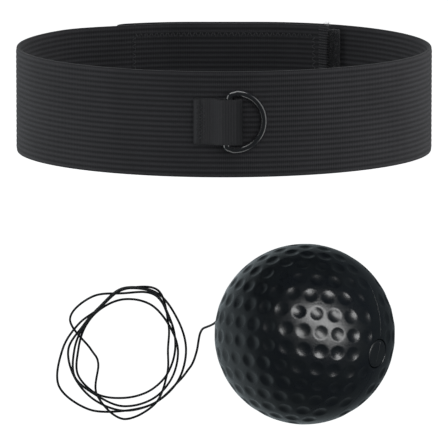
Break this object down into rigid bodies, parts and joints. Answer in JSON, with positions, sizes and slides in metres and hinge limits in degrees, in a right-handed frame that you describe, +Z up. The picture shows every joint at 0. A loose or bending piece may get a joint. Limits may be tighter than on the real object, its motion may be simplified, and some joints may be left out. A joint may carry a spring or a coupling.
{
  "type": "reflex ball headband",
  "caption": "Elastic head loop with a hook-and-loop closure and a sewn D-ring tab, beside a dimpled foam ball on a loosely coiled elastic cord.",
  "frame": {"origin": "on the table the object lies on, under the middle of the box round the head loop and the ball (the free cord is not counted)", "axes": "+Z up from the table, the way the loop's front and D-ring face; the head goes through the loop along Y, with the loop at +Y and the ball at -Y; +X is the side of the tab that the D-ring lies on, and the head's side-to-side direction"},
  "size_m": [0.174, 0.1734, 0.1566],
  "materials": {
    "ribbed_elastic": "matte",
    "hook_tape": "matte",
    "pile_tape": "matte",
    "seam_thread": "satin",
    "webbing": "matte",
    "enamelled_steel": "gloss",
    "ball_skin": "satin",
    "washer_nylon": "matte",
    "cord_cover": "matte"
  },
  "bodies": {
    "headband": {"elastic_band": "ribbed_elastic", "hook_tape": "hook_tape", "loop_tape": "pile_tape", "hook_tape_stitching": "seam_thread", "inner_end_overlock": "seam_thread", "outer_end_overlock": "seam_thread", "tab_base": "webbing", "tab_stitching": "seam_thread"},
    "ring_tab": {"tab_loop": "webbing"},
    "ring": {"d_ring": "enamelled_steel"},
    "cord": {"cord_in_ball": "cord_cover", "cord_knot": "cord_cover", "knot_washer": "washer_nylon", "cord_lead": "cord_cover", "cord_coil": "cord_cover"},
    "foam_ball": {"ball": "ball_skin", "ball_plug": "ball_skin"}
  },
  "joints": [
    {"name": "tab_lift", "type": "hinge", "parent": "headband", "child": "ring_tab", "pos_m": [-0.00654, 0.0637, 0.15289], "axis": [0, -1, 0], "range_deg": [0, 70]},
    {"name": "d_ring_swing", "type": "hinge", "parent": "ring_tab", "child": "ring", "pos_m": [0.00155, 0.0638, 0.15344], "axis": [-0.0698, -0.9976, 0], "range_deg": [0, 140]},
    {"name": "cord_lift", "type": "slide", "parent": "headband", "child": "cord", "axis": [0, 0, 1], "range_m": [0, 0.2]},
    {"name": "ball_spin", "type": "hinge", "parent": "cord", "child": "foam_ball", "pos_m": [0.0344, -0.0454, 0.0385], "axis": [0.8037, -0.115, 0.5838], "continuous": true}
  ]
}
